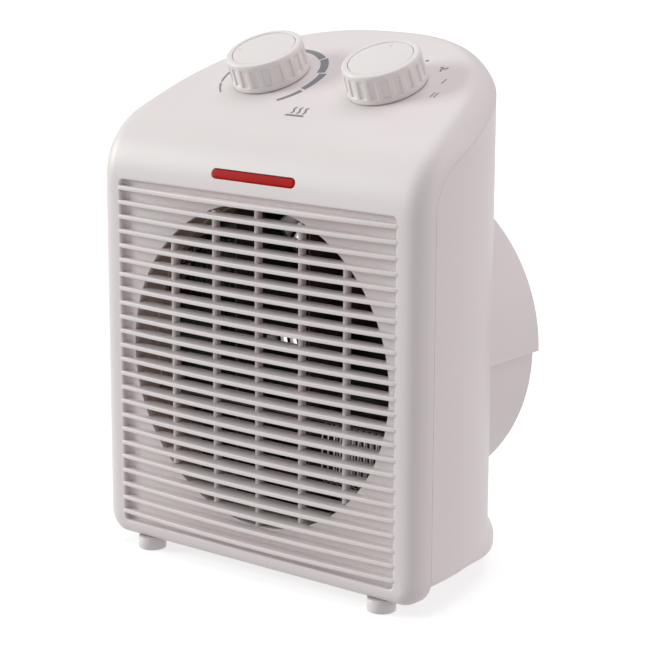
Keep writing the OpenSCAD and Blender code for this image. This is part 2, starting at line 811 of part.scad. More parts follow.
module knob_cap(x, pointer) on_panel(x) translate([0, 0, knob_gap + knob_h - knob_cap_t - cap_gap])
    difference() {
        cylinder(h = knob_cap_t, r = knob_groove_r - cap_gap);
        rotate(-pointer) translate([0, pointer_ring_r, knob_cap_t]) sphere(pointer_r, $fn = 24);
    }

module thermostat_knob() color(shell_white) knob(-knob_x);

module thermostat_cap() color(shell_white) knob_cap(-knob_x, thermostat_pointer);

module selector_knob() color(shell_white) knob(knob_x);

module selector_cap() color(shell_white) knob_cap(knob_x, selector_pointer);

module wiring() color("white") from_front() {
    for (i = [0:len(mains_route) - 2]) wire(mains_route[i], mains_route[i + 1], wire_r);
    tab_top = axis_h + duct_r + terminal_size[2] + tab_l;
    for (side = [-1, 1])
        wire([side * tab_w, terminal_y + terminal_size[1] / 2, tab_top + wire_r],
            [side * knob_x / 2, knob_y - 10, tab_top + 12], wire_r);
}

front_shell();
front_grille();
indicator_lens();
indicator_lamp();
rear_shell();
intake_grille();
front_feet();
rear_feet();
cord_gland();
case_screws();
air_duct();
mica_boards();
heating_coils();
element_hoop();
fan_shroud();
thermal_cutout();
thermal_fuse();
element_terminals();
motor_mount();
mount_screws();
motor_stator();
motor_winding();
front_bracket();
rear_bracket();
bearings();
motor_screws();
motor_shaft();
motor_rotor();
fan();
fan_nut();
control_bracket();
bracket_screws();
thermostat();
thermostat_nut();
thermostat_spindle();
thermostat_knob();
thermostat_cap();
selector_switch();
selector_nut();
selector_spindle();
selector_knob();
selector_cap();
wiring();
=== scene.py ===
"""Looks for the small upright fan heater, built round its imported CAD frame.

Lengths are millimetres in the part's own front frame: X to the right, Y the depth behind the
front face, Z the height above the floor. place() turns them into metres in the row frame.
"""
import json
import math

import bmesh
import bpy
import numpy as np
from mathutils import Matrix, Vector
from mathutils.geometry import delaunay_2d_cdt


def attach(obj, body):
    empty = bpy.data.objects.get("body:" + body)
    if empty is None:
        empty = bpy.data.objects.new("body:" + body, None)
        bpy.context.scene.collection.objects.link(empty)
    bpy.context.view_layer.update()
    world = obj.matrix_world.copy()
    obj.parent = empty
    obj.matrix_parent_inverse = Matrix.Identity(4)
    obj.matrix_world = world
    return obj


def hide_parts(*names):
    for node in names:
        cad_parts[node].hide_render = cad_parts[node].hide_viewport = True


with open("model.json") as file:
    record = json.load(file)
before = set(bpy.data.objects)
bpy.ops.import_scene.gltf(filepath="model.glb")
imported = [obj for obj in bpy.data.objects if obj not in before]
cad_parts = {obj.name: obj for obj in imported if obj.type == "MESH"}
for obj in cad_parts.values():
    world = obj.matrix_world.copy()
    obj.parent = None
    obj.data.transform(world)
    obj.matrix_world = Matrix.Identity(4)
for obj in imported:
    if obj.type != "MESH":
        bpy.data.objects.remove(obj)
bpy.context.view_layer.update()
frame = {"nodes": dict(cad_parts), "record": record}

MM = 0.001

# Body, as in part.scad
BODY_W, BODY_D, FACE_H = 191.5, 118.0, 182.2
BROW_R, EDGE_R, WALL = 36.3, 10.6, 2.4
PANEL_TILT, PANEL_BOW = math.radians(25), 1000.0
PLAN_POWER_X, PLAN_POWER_Y = 2.5, 2.25
CORE_HALF_W, CORE_D, CORE_BROW_R = BODY_W / 2 - EDGE_R, BODY_D - 2 * EDGE_R, BROW_R - EDGE_R
BROW_END_Y = CORE_BROW_R * (1 - math.sin(PANEL_TILT))
BROW_END_Z = FACE_H + CORE_BROW_R * math.cos(PANEL_TILT)
FRONT_Y = -BODY_D / 2
FRONT_BOTTOM, REAR_BOTTOM = 6.1, 14.4
SEAM_GAP = 0.06

# Front face
CORNER_R = 12.0
BOTTOM_ROLL, INNER_ROLL = 6.0, 2.0
RECESS_HALF_W, RECESS_LOW, RECESS_HIGH, RECESS_D = 81.8, 13.8, 183.2, 3.4
RECESS_LIP, RECESS_CORNER = 0.9, 2.0
AXIS_H, OUTLET_R = 102.6, 76.3
BLADE_COUNT, BLADE_PITCH, BLADE_FIRST = 24, 7.0, 18.1
BLADE_HALF_T, BLADE_ROUND, BLADE_D = 1.05, 0.5, 7.0
BLADE_HALF_L, BLADE_PROUD, BLADE_FADE, BLADE_BOW = 83.8, 0.35, 3.0, 3.2
BAR_PITCH, BAR_W, BAR_FRONT = 25.7, 2.5, 3.2

# Drum
DRUM_R, DRUM_D, HOOD_STEP, DRUM_FRONT, INTAKE_R = 80.5, 113.6, 2.1, 46.0, 77.2

# Feet, screws and gland
FRONT_FOOT_X, FRONT_FOOT_Y, FRONT_FOOT_R = 70.6, 7.3, 6.8
REAR_FOOT_X, REAR_FOOT_Y, REAR_FOOT_R, REAR_FOOT_H = 46, 92, 8.0, 8.8
SCREW_X, SCREW_HEIGHTS, SCREW_WELL_R, BOSS_R = 72, (25.6, 185.6), 3.4, 5.0
GLAND_X, GLAND_Z, GLAND_R, GLAND_BORE_R, GLAND_END = -56, 27.6, 5.5, 3.2, 106.0

# Controls
KNOB_X, KNOB_Y = 34.6, 56.7
KNOB_R, KNOB_TOP_R, KNOB_H, KNOB_GAP = 19.0, 18.6, 14.3, 0.35
GROOVE_R, GROOVE_D, CAP_T = 15.6, 1.4, 1.2
FLUTES, FLUTE_D, FLUTE_LOW, FLUTE_HIGH = 20, 0.7, 2.4, 2.9
POINTER_RING, POINTER_R, POINTER_D = 11.6, 1.5, 0.55
BORE_R, BORE_H, HUB_R, HUB_LOW, HOLLOW_R, HOLLOW_H = 3.05, 8.6, 6.0, 0.4, 17.2, 9.4
HOLE_R, HOLE_SIDES = 5.5, 48
# Heights up a knob's side, closer together where the flutes start and end
SIDE_ROWS = (1.4, 2.2, 2.4, 2.55, 2.7, 2.9, 4.5, 6.0, 7.5, 9.0, 10.4, 10.6, 10.75, 10.95, 11.1, 11.8)
RIM_R = 1.1
THERMOSTAT_POINTER, SELECTOR_POINTER = 255.0, 354.0


# ---------------------------------------------------------------- helpers

def place(points):
    """Front-frame millimetres to row-frame metres."""
    return (np.asarray(points, float) + (0, FRONT_Y, 0)) * MM


def new_mesh(name, points, faces, sharp=35):
    """A mesh object from front-frame points, smooth apart from edges sharper than that angle."""
    mesh = bpy.data.meshes.new(name)
    mesh.from_pydata([tuple(p) for p in place(points)], [], [tuple(f) for f in faces])
    obj = bpy.data.objects.new(name, mesh)
    bpy.context.scene.collection.objects.link(obj)
    tidy(obj)
    smooth(obj, sharp)
    return obj


def tidy(obj, gap=0.004):
    """Merges points that coincide, drops faces with no area and turns the faces outward."""
    bm = bmesh.new()
    bm.from_mesh(obj.data)
    bmesh.ops.remove_doubles(bm, verts=bm.verts, dist=gap * MM)
    bmesh.ops.dissolve_degenerate(bm, edges=bm.edges, dist=gap * MM)
    bmesh.ops.recalc_face_normals(bm, faces=bm.faces)
    bm.to_mesh(obj.data)
    bm.free()


def smooth(obj, angle):
    obj.data.polygons.foreach_set("use_smooth", [True] * len(obj.data.polygons))
    obj.data.set_sharp_from_angle(angle=math.radians(angle))


class Builder:
    """Collects rings and loose parts into one list of points and faces."""

    def __init__(self):
        self.points, self.faces = [], []

    def add(self, points):
        start = len(self.points)
        self.points.extend([tuple(p) for p in points])
        return list(range(start, start + len(points)))

    def strip(self, a, b, closed=True):
        n = len(a)
        for i in range(n if closed else n - 1):
            j = (i + 1) % n
            self.faces.append((a[i], a[j], b[j], b[i]))

    def cap(self, ring):
        self.faces.append(tuple(ring))

    def loft(self, rings, closed=True, caps=True):
        made = [self.add(r) for r in rings]
        for a, b in zip(made, made[1:]):
            self.strip(a, b, closed)
        if caps:
            self.cap(made[0][::-1])
            self.cap(made[-1])
        return made

    def grid(self, rows):
        self.loft(rows, closed=False, caps=False)

    def object(self, name, sharp=35):
        return new_mesh(name, self.points, self.faces, sharp)


def bezier(p0, p1, p2, p3, steps):
    t = np.linspace(0, 1, steps + 1)[:, None]
    return (1 - t) ** 3 * p0 + 3 * (1 - t) ** 2 * t * p1 + 3 * (1 - t) * t ** 2 * p2 + t ** 3 * p3


def ease(t):
    t = min(1.0, max(0.0, t))
    return t * t * (3 - 2 * t)


def unit(v):
    v = np.asarray(v, float)
    return v / np.linalg.norm(v)


def circle(r, y, count, centre=(0.0, AXIS_H)):
    """Points of a circle in an upright plane at depth y."""
    a = np.arange(count) * 2 * math.pi / count
    return np.stack([centre[0] + r * np.cos(a), np.full(count, y), centre[1] + r * np.sin(a)], 1)


def lathe(profile, count, centre=(0.0, AXIS_H)):
    """Rings for a profile of (radius, depth) turned about an axis along Y."""
    return [circle(r, y, count, centre) for r, y in profile]


def upright_lathe(profile, count, x, y):
    """Rings for a profile of (radius, height) turned about an upright axis."""
    a = np.arange(count) * 2 * math.pi / count
    return [np.stack([x + r * np.cos(a), y + r * np.sin(a), np.full(count, z)], 1)
            for r, z in profile]


def rounded_rect(half_w, low, high, r, steps=5):
    """Points round a rectangle in the front view, as (x, z), with round corners."""
    points = []
    corners = ((1, low + r, -90), (1, high - r, 0), (-1, high - r, 90), (-1, low + r, 180))
    for sx, z, start in corners:
        for i in range(steps + 1):
            a = math.radians(start + 90 * i / steps)
            points.append((sx * (half_w - r) + r * math.cos(a), z + r * math.sin(a)))
    return points


def tube(builder, path, r, sides=6):
    """A round tube along a path of points, with its ends closed."""
    path = np.asarray(path, float)
    side = unit(np.cross(path[1] - path[0], (0.31, 0.55, 0.77)))
    rings = []
    for i, p in enumerate(path):
        along = unit(path[min(i + 1, len(path) - 1)] - path[max(i - 1, 0)])
        side = unit(side - np.dot(side, along) * along)
        other = np.cross(along, side)
        a = np.arange(sides) * 2 * math.pi / sides
        rings.append(p + r * (np.cos(a)[:, None] * side + np.sin(a)[:, None] * other))
    builder.loft(rings)


def boolean(obj, cutter, operation):
    """Applies an exact boolean and removes the cutter."""
    mod = obj.modifiers.new("cut", "BOOLEAN")
    mod.operation, mod.object, mod.solver = operation, cutter, "EXACT"
    depsgraph = bpy.context.evaluated_depsgraph_get()
    made = bpy.data.meshes.new_from_object(obj.evaluated_get(depsgraph))
    obj.modifiers.clear()
    obj.data = made
    bpy.data.objects.remove(cutter)


def even_normals(obj):
    """Lets the large flat faces set the shading beside the small round ones."""
    mod = obj.modifiers.new("even", "WEIGHTED_NORMAL")
    mod.keep_sharp = True
    mod.weight = 80


# ---------------------------------------------------------------- materials

def material(name, colour, roughness, metallic=0.0, specular=0.5, coat=0.0, coat_roughness=0.1,
             tint=0.03, grain=900.0, bump=0.02, rough_spread=0.06, stretch=(1, 1, 1)):
    """Procedural finish: noise varies the colour, the roughness and a fine bump."""
    mat = bpy.data.materials.new(name)
    mat.use_nodes = True
    tree = mat.node_tree
    nodes, links = tree.nodes, tree.links
    shader = nodes["Principled BSDF"]
    shader.inputs["Metallic"].default_value = metallic
    shader.inputs["Specular IOR Level"].default_value = specular
    shader.inputs["Coat Weight"].default_value = coat
    shader.inputs["Coat Roughness"].default_value = coat_roughness
    coords = nodes.new("ShaderNodeTexCoord")
    mapping = nodes.new("ShaderNodeMapping")
    mapping.inputs["Scale"].default_value = stretch
    links.new(coords.outputs["Object"], mapping.inputs["Vector"])
    broad = nodes.new("ShaderNodeTexNoise")
    broad.inputs["Scale"].default_value = 14.0
    broad.inputs["Detail"].default_value = 4.0
    fine = nodes.new("ShaderNodeTexNoise")
    fine.inputs["Scale"].default_value = grain
    fine.inputs["Detail"].default_value = 3.0
    for noise in (broad, fine):
        links.new(mapping.outputs["Vector"], noise.inputs["Vector"])
    ramp = nodes.new("ShaderNodeValToRGB")
    ramp.color_ramp.elements[0].position, ramp.color_ramp.elements[1].position = 0.3, 0.7
    ramp.color_ramp.elements[0].color = [c * (1 - tint) for c in colour] + [1]
    ramp.color_ramp.elements[1].color = [min(1, c * (1 + tint)) for c in colour] + [1]
    links.new(broad.outputs["Fac"], ramp.inputs["Fac"])
    links.new(ramp.outputs["Color"], shader.inputs["Base Color"])
    spread = nodes.new("ShaderNodeMapRange")
    spread.inputs["To Min"].default_value = max(0.02, roughness - rough_spread)
    spread.inputs["To Max"].default_value = min(1.0, roughness + rough_spread)
    links.new(fine.outputs["Fac"], spread.inputs["Value"])
    links.new(spread.outputs["Result"], shader.inputs["Roughness"])
    relief = nodes.new("ShaderNodeBump")
    relief.inputs["Strength"].default_value = bump
    relief.inputs["Distance"].default_value = 0.1 * MM
    links.new(fine.outputs["Fac"], relief.inputs["Height"])
    links.new(relief.outputs["Normal"], shader.inputs["Normal"])
    return mat


def finishes():
    """A material for each slot of the record, for the printed marks and for the darker copies that
    paint shade inside the casing.
    """
    return {
        "shell": material("white_satin", (0.765, 0.69, 0.70), 0.42, tint=0.012, grain=1600,
                          bump=0.10),
        "knob": material("knob_satin", (0.78, 0.725, 0.725), 0.40, tint=0.012, grain=1600,
                         bump=0.08),
        "lens": material("red_lens", (0.46, 0.006, 0.006), 0.42, specular=0.08, tint=0.10,
                         bump=0.02),
        "lamp": material("glow_lamp", (0.85, 0.42, 0.16), 0.15, coat=0.8, tint=0.06),
        "rubber": material("grey_rubber", (0.10, 0.10, 0.105), 0.8, tint=0.08, grain=2500, bump=0.3),
        "screw": material("zinc_screw", (0.60, 0.61, 0.63), 0.32, 1.0, tint=0.05, bump=0.1),
        "sheet_steel": material("heat_stained_steel", (0.36, 0.285, 0.235), 0.46, 0.35, tint=0.16,
                                grain=700, bump=0.12, stretch=(1, 6, 1)),
        "mica": material("mica_board", (0.085, 0.062, 0.045), 0.62, tint=0.3, grain=2200, bump=0.4),
        "coil": material("resistance_wire", (0.86, 0.83, 0.80), 0.36, 0.55, tint=0.12, bump=0.1),
        "phenolic": material("black_phenolic", (0.012, 0.012, 0.013), 0.55, tint=0.2, grain=1800,
                             bump=0.2),
        "ceramic": material("cream_ceramic", (0.72, 0.60, 0.44), 0.6, tint=0.06, grain=1500,
                            bump=0.25),
        "lamination": material("dark_laminations", (0.06, 0.062, 0.068), 0.5, 0.7, tint=0.2,
                               grain=2400, bump=0.4, stretch=(0.1, 1, 0.1)),
        "winding": material("enamelled_copper", (0.42, 0.16, 0.06), 0.3, 0.8, tint=0.15,
                            grain=2600, bump=0.6, stretch=(1, 0.1, 1)),
        "brass": material("turned_brass", (0.62, 0.46, 0.18), 0.3, 1.0, tint=0.06, bump=0.15),
        "fan_plastic": material("black_fan_and_guard_shade", (0.012, 0.012, 0.014), 0.5, tint=0.2, grain=1600,
                                bump=0.12),
        "wire": material("silicone_sleeve", (0.62, 0.61, 0.58), 0.55, tint=0.05, bump=0.1),
        "duct": material("warm_duct_wall", (0.86, 0.70, 0.60), 0.5, 0.1, tint=0.14, grain=700,
                         bump=0.12, stretch=(1, 6, 1)),
        # near-black copy of the resistance wire: painted shade for the left winding, which is the
        # same wire as the right one
        "shaded_coil": material("wire_painted_shade", (0.030, 0.026, 0.024), 0.6, 0.3, tint=0.3,
                              bump=0.1),
        # near black for small metal and phenolic parts deep in the casing: painted shade, not a
        # blackened finish
        "shaded_interior": material("interior_painted_shade", (0.03, 0.03, 0.032), 0.5, 0.4, tint=0.2, bump=0.1),
        "print": material("grey_print", (0.225, 0.225, 0.25), 0.55, tint=0.05, grain=2600, bump=0.05),
    }


FINISH = finishes()

# CAD nodes seen through the grille with a look other than their slot's; the small parts listed next
# are painted near black, painted shade deep inside the casing
SHADED_NODES = ("fan_nut", "motor_screws", "mount_screws", "motor_mount", "thermal_cutout",
              "thermal_fuse", "motor_shaft")
LOOKS = {"air_duct": "duct", "element_hoop": "duct", **dict.fromkeys(SHADED_NODES, "shaded_interior")}


def finish_piece(obj, slot_name, body="casing", replaced=(), look=None):
    """Gives a new piece its material and its body, and hides the CAD parts that it stands for."""
    obj.data.materials.clear()
    obj.data.materials.append(FINISH[look or slot_name])
    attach(obj, body)
    if replaced:
        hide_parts(*replaced)
    return obj


def dress_cad_nodes():
    """The carried-over CAD nodes take the finish of their own slot, or a look of their own."""
    slots = {s["node"]: s["material_slot"] for s in frame["record"]["subparts"]}
    for name, obj in frame["nodes"].items():
        obj.data.materials.clear()
        obj.data.materials.append(FINISH[LOOKS.get(name, slots[name])])


# ---------------------------------------------------------------- body form

def brow_y(beta):
    return CORE_BROW_R * (1 - math.cos(beta))


def top_height(y):
    """Height of the rolling centre line above a depth."""
    if y < BROW_END_Y:
        return FACE_H + math.sqrt(max(0, CORE_BROW_R ** 2 - (CORE_BROW_R - y) ** 2))
    over = y - BROW_END_Y
    return BROW_END_Z + math.tan(PANEL_TILT) * over - over ** 2 / (2 * PANEL_BOW)


def top_normal(y):
    if y < BROW_END_Y:
        beta = math.acos(1 - y / CORE_BROW_R)
        return np.array([0, -math.cos(beta), math.sin(beta)])
    slope = math.atan(math.tan(PANEL_TILT) - (y - BROW_END_Y) / PANEL_BOW)
    return np.array([0, -math.sin(slope), math.cos(slope)])


def plan_point(theta):
    """Half width and depth of the core outline seen from above, and its outward normal."""
    s, c = math.sin(theta), math.cos(theta)
    x = CORE_HALF_W * c ** (2 / PLAN_POWER_X) if c > 1e-9 else 0.0
    y = CORE_D * s ** (2 / PLAN_POWER_Y)
    if s < 1e-6:
        return x, y, np.array([1.0, 0, 0])
    if c < 1e-6:
        return x, y, np.array([0, 1.0, 0])
    dy = 2 / PLAN_POWER_Y * CORE_D * s ** (2 / PLAN_POWER_Y - 1) * c
    dx = 2 / PLAN_POWER_X * CORE_HALF_W * c ** (2 / PLAN_POWER_X - 1) * s
    return x, y, unit((dy, dx, 0))


def theta_at(y):
    return math.asin((y / CORE_D) ** (PLAN_POWER_Y / 2))


BROW_STEPS, PANEL_STEPS = 12, 40
FLAT_END = math.asin((RECESS_HIGH + RECESS_LIP + 0.7 - FACE_H) / BROW_R)


def stations():
    """Angles along the plan outline, from the front of the brow to the middle of the back."""
    betas = [0.0] + list(np.linspace(FLAT_END, math.pi / 2 - PANEL_TILT, BROW_STEPS))
    start = theta_at(BROW_END_Y)
    panel = np.linspace(start, math.pi / 2, PANEL_STEPS + 1)[1:]
    return [theta_at(brow_y(b)) for b in betas] + list(panel)


STATIONS = stations()
ROLL_STEPS = 9
PANEL_CREASE = math.radians(70)
CHAMFER = 0.14


def roll(centre, n_top, n_side, r_flat, r_side, crease, hold, inner):
    """Points across the rolled edge, from the flat to the seam, and then the seam's chamfer."""
    across = unit(n_side - np.dot(n_side, n_top) * n_top)
    down = -unit(n_top - np.dot(n_top, n_side) * n_side)
    start, end = centre + r_flat * n_top, centre + r_side * n_side
    if not inner:
        end = end - CHAMFER * down
    last = down * math.sin(crease) + n_side * math.cos(crease)
    size = (r_flat + r_side) / 2
    arc = bezier(start, start + 0.55 * size * across, end - hold * size * last, end, ROLL_STEPS)
    if inner:
        return arc
    return np.vstack([arc, centre + (r_side - CHAMFER) * n_side])


def upper_columns(inset):
    """Rolled edge on the right from the front of the brow to the middle of the back."""
    columns = []
    for theta in STATIONS:
        x, y, n_side = plan_point(theta)
        centre = np.array([x, EDGE_R + y, top_height(y)])
        share = ease(y / (2 * BROW_END_Y))
        crease = math.pi / 2 + (PANEL_CREASE - math.pi / 2) * share
        hold = 0.70 - 0.20 * share
        r = EDGE_R - inset
        columns.append(roll(centre, top_normal(y), n_side, r, r, crease, hold, inset > 0))
    return columns


def lower_columns(inset):
    """Rolled edge on the right from the middle of the bottom up to the brow."""
    columns = []
    straight = [(x, FRONT_BOTTOM, 90.0) for x in np.linspace(0, BODY_W / 2 - CORNER_R, 9)[:-1]]
    corner = []
    for turn in np.linspace(90, 0, 17):
        a = math.radians(turn)
        corner.append((BODY_W / 2 - CORNER_R * (1 - math.cos(a)),
                       FRONT_BOTTOM + CORNER_R * (1 - math.sin(a)), turn))
    side = [(BODY_W / 2, z, 0.0) for z in np.linspace(FRONT_BOTTOM + CORNER_R, FACE_H, 9)[1:-1]]
    for x, z, turn in straight + corner + side:
        a = math.radians(turn)
        n_side = np.array([math.cos(a), 0, -math.sin(a)])
        share = ease(turn / 90)
        wide, tight = EDGE_R - inset, INNER_ROLL if inset else BOTTOM_ROLL
        rim = np.array([x, EDGE_R, z]) - inset * n_side
        front = np.array([0, -EDGE_R + inset, 0])
        end = rim - (np.array([0, CHAMFER, 0]) if not inset else 0)
        flat = rim - wide * n_side + front
        side_arc = bezier(flat, flat + 0.55 * wide * n_side, end - np.array([0, 0.70 * wide, 0]), end,
                          ROLL_STEPS)
        centre = rim - tight * n_side + front + np.array([0, tight, 0])
        round_arc = [centre + tight * (math.sin(t) * n_side - np.array([0, math.cos(t), 0]))
                     for t in np.linspace(0, math.pi / 2, ROLL_STEPS)]
        arc = (1 - share) * side_arc + share * np.vstack([round_arc, end])
        columns.append(arc if inset else np.vstack([arc, rim - CHAMFER * n_side]))
    return columns


def mirrored(points):
    return np.asarray(points) * (-1, 1, 1)


TOP_SPLITS = 28


def flat_with_hole(builder, outer, hole, depth_of):
    """Fills the plane between an outer loop and a hole, both as (x, z)."""
    coords = [Vector(p) for p in outer] + [Vector(p) for p in hole]
    n, m = len(outer), len(hole)
    edges = [(i, (i + 1) % n) for i in range(n)] + [(n + i, n + (i + 1) % m) for i in range(m)]
    verts, _, faces, *_ = delaunay_2d_cdt(coords, edges, [], 0, 1e-7)
    ids = builder.add([(v.x, depth_of(v.y), v.y) for v in verts])
    for f in faces:
        c = sum((verts[i] for i in f), Vector((0, 0))) / len(f)
        if inside(c, outer) and not inside(c, hole):
            builder.faces.append(tuple(ids[i] for i in f))


def inside(p, loop):
    hit = False
    for (x0, z0), (x1, z1) in zip(loop, loop[1:] + loop[:1]):
        if (z0 > p[1]) != (z1 > p[1]) and p[0] < (x1 - x0) * (p[1] - z0) / (z1 - z0) + x0:
            hit = not hit
    return hit


def face_depth(z):
    """Depth of the outer skin at a height on the front face or the start of the brow."""
    return BROW_R - math.sqrt(BROW_R ** 2 - max(0, z - FACE_H) ** 2)


def skin(builder, inset, hole):
    """One skin of the front moulding with its rolled edge. Returns the seam loop."""
    columns = lower_columns(inset) + upper_columns(inset)
    split = len(columns) - len(STATIONS) + 1
    for side in (np.asarray, mirrored):
        builder.grid([side(c) for c in columns])
    rows = [[(1 - 2 * t) * c[0][0] for t in np.linspace(0, 1, TOP_SPLITS + 1)]
            for c in columns[split:]]
    builder.grid([[(x, c[0][1], c[0][2]) for x in row] for row, c in zip(rows, columns[split:])])
    edge = [(c[0][0], c[0][2]) for c in columns[:split + 1]]
    top = [(x, edge[-1][1]) for x in rows[0]]
    outer = edge + top[1:-1] + [(-x, z) for x, z in edge[:0:-1]]
    flat_with_hole(builder, outer, hole, lambda z: face_depth(z) + inset)
    return [c[-1] for c in columns]


def recess_rings():
    """Rings from the lip of the grille recess to the recess floor."""
    rings = []
    for t in np.linspace(0, math.pi / 2, 5):
        grow = RECESS_LIP * (1 - math.sin(t))
        rings.append((grow, RECESS_LIP * (1 - math.cos(t))))
    return rings + [(0, RECESS_D - 0.3), (-0.3, RECESS_D)]


def recess_loop(grow):
    return rounded_rect(RECESS_HALF_W + grow, RECESS_LOW - grow, RECESS_HIGH + grow,
                        RECESS_CORNER + grow)


SILL_INSET, SILL_RISE, SILL_STEPS = 1.2, 1.0, 8


def sill(b):
    """Closes the foot of the front moulding behind, below the floor of the rear moulding."""
    half, r = BODY_W / 2 - SILL_INSET, CORNER_R - SILL_INSET
    middle = FRONT_BOTTOM + CORNER_R
    outline = [(half, middle + SILL_RISE)]
    for side, start in ((1, 0), (-1, -90)):
        for i in range(SILL_STEPS + 1):
            a = math.radians(start - 90 * i / SILL_STEPS)
            outline.append((side * (half - r) + r * math.cos(a), middle + r * math.sin(a)))
    outline.append((-half, middle + SILL_RISE))
    b.loft([[(x, y, z) for x, z in outline] for y in (EDGE_R - WALL, EDGE_R - CHAMFER)])


def front_moulding():
    b = Builder()
    seam_out = skin(b, 0.0, recess_loop(RECESS_LIP))
    seam_in = skin(b, WALL, recess_loop(WALL))
    for side in (np.asarray, mirrored):
        b.grid([side(seam_out), side(seam_in)])
    rings = [[(x, face_depth(z) + y if i == 0 else y, z) for x, z in recess_loop(grow)]
             for i, (grow, y) in enumerate(recess_rings())]
    b.loft(rings, caps=False)
    outlet = [(OUTLET_R + 0.4, RECESS_D), (OUTLET_R + 0.1, RECESS_D + 0.1),
              (OUTLET_R, RECESS_D + 0.4), (OUTLET_R, RECESS_D + WALL)]
    b.loft(lathe(outlet, 128), caps=False)
    for depth, grow, r in ((RECESS_D, -0.3, OUTLET_R + 0.4), (RECESS_D + WALL, WALL, OUTLET_R)):
        hole = [(p[0], p[2]) for p in circle(r, 0, 128)]
        flat_with_hole(b, recess_loop(grow), hole, lambda z: depth)
    back = [[(x, y if y else face_depth(z) + WALL, z) for x, z in recess_loop(WALL)]
            for y in (0, RECESS_D + WALL)]
    b.loft(back, caps=False)
    sill(b)
    shell = b.object("front_moulding", 32)
    boolean(shell, lens_cutter(), "DIFFERENCE")
    for x in (-KNOB_X, KNOB_X):
        boolean(shell, knob_hole_cutter(x), "DIFFERENCE")
    smooth(shell, 32)
    even_normals(shell)
    return finish_piece(shell, "shell", replaced=["front_shell"])


# ---------------------------------------------------------------- lens

LENS_W, LENS_H, LENS_Z = 48.8, 4.2, 191.8
LENS_TILT = math.asin((LENS_Z - FACE_H) / BROW_R)
LENS_Y = BROW_R * (1 - math.cos(LENS_TILT))


def lens_place(points):
    """Puts (x, depth, height) of the lens frame on the brow."""
    turn = np.array(Matrix.Rotation(-LENS_TILT, 3, "X"))
    return np.asarray(points, float) @ turn.T + (0, LENS_Y, LENS_Z)


def stadium(grow, depth, steps=12):
    """Outline of the lens, grown by a little, at a depth."""
    half, r = (LENS_W - LENS_H) / 2, LENS_H / 2 + grow
    points = []
    for side, start in ((1, -90), (-1, 90)):
        for i in range(steps + 1):
            a = math.radians(start + 180 * i / steps)
            points.append((side * half + r * math.cos(a), depth, r * math.sin(a)))
    return points


def lens_cutter():
    b = Builder()
    steps = ((0.75, -2.0), (0.75, -0.02), (0.42, 0.10), (0.24, 0.42), (0.24, 9.0))
    b.loft([lens_place(stadium(g, y)) for g, y in steps])
    return b.object("lens_cutter")


def lens():
    b = Builder()
    steps = ((0.0, 3.2), (0.0, 0.35), (-0.08, 0.12), (-0.28, -0.02), (-0.6, -0.10), (-1.2, -0.13))
    b.loft([lens_place(stadium(g, y)) for g, y in steps])
    return finish_piece(b.object("lens", 60), "lens", replaced=["indicator_lens"])


# ---------------------------------------------------------------- knobs

PANEL_SLOPE = math.atan(math.tan(PANEL_TILT) - (KNOB_Y - EDGE_R - BROW_END_Y) / PANEL_BOW)
PANEL_Z = top_height(KNOB_Y - EDGE_R) + EDGE_R / math.cos(PANEL_SLOPE)


def panel_place(points, x):
    """Puts knob-axis points on the control panel at x."""
    turn = np.array(Matrix.Rotation(PANEL_SLOPE, 3, "X"))
    return np.asarray(points, float) @ turn.T + (x, KNOB_Y, PANEL_Z)


def panel_drop(dx, dy):
    """How far the bowed panel falls below the knob's tangent plane."""
    bow = (dy * math.cos(PANEL_SLOPE)) ** 2 * math.cos(PANEL_SLOPE) / (2 * PANEL_BOW)
    return bow + EDGE_R * math.sin(PANEL_SLOPE) / PANEL_BOW * dy


def knob_hole_cutter(x):
    b = Builder()
    rings = upright_lathe([(HOLE_R, -6), (HOLE_R, 3)], HOLE_SIDES, 0, 0)
    b.loft([panel_place(ring, x) for ring in rings])
    return b.object("hole_cutter")


def flute_angles():
    """Angles round the knob, close together where a flute's side walls are."""
    half = (0.13, 0.25, 0.275, 0.305, 0.335, 0.40)
    shares = (-0.5,) + tuple(-s for s in half[::-1]) + (0.0,) + half
    return [(i + s) * 2 * math.pi / FLUTES for i in range(FLUTES) for s in shares], \
        [s for _ in range(FLUTES) for s in shares]


def flute_depth(share, z):
    """Depth of the flutes at a share of their pitch and a height on the knob."""
    side = ease((0.335 - abs(share)) / 0.085)
    low = ease((z - FLUTE_LOW) / 0.5)
    high = ease((KNOB_H - FLUTE_HIGH - z) / 0.5)
    return FLUTE_D * side * low * high


def knob_profile():
    """(radius, height) from the bore round the underside, up the side and into the cap's seat."""
    points = [(0.01, BORE_H), (BORE_R, BORE_H), (BORE_R, HUB_LOW), (HUB_R, HUB_LOW),
              (HUB_R, HOLLOW_H), (HOLLOW_R, HOLLOW_H), (HOLLOW_R, 0.3), (HOLLOW_R + 0.3, 0.0),
              (KNOB_R - 0.45, 0.0), (KNOB_R - 0.12, 0.12), (KNOB_R, 0.45)]
    for z in SIDE_ROWS:
        points.append((KNOB_R + (KNOB_TOP_R - KNOB_R) * z / KNOB_H, z))
    for t in np.linspace(0, math.pi / 2, 7):
        points.append((KNOB_TOP_R + 0.05 - RIM_R * (1 - math.cos(t)),
                       KNOB_H - RIM_R * (1 - math.sin(t))))
    points += [(GROOVE_R + 0.25, KNOB_H), (GROOVE_R + 0.05, KNOB_H - 0.1), (GROOVE_R, KNOB_H - 0.3),
               (GROOVE_R, KNOB_H - GROOVE_D), (0.01, KNOB_H - GROOVE_D)]
    return points


def knob(name, x, body):
    angles, shares = flute_angles()
    b = Builder()
    rings = []
    for r, z in knob_profile():
        outer = r > GROOVE_R + 2.5 and 0.4 < z
        ring = []
        for a, s in zip(angles, shares):
            rr = r - (flute_depth(s, z) if outer else 0)
            ring.append((rr * math.cos(a), rr * math.sin(a), z + KNOB_GAP))
        rings.append(panel_place(ring, x))
    b.loft(rings)
    return finish_piece(b.object(name, 50), "knob", body, [name.replace("_dial", "_knob")])


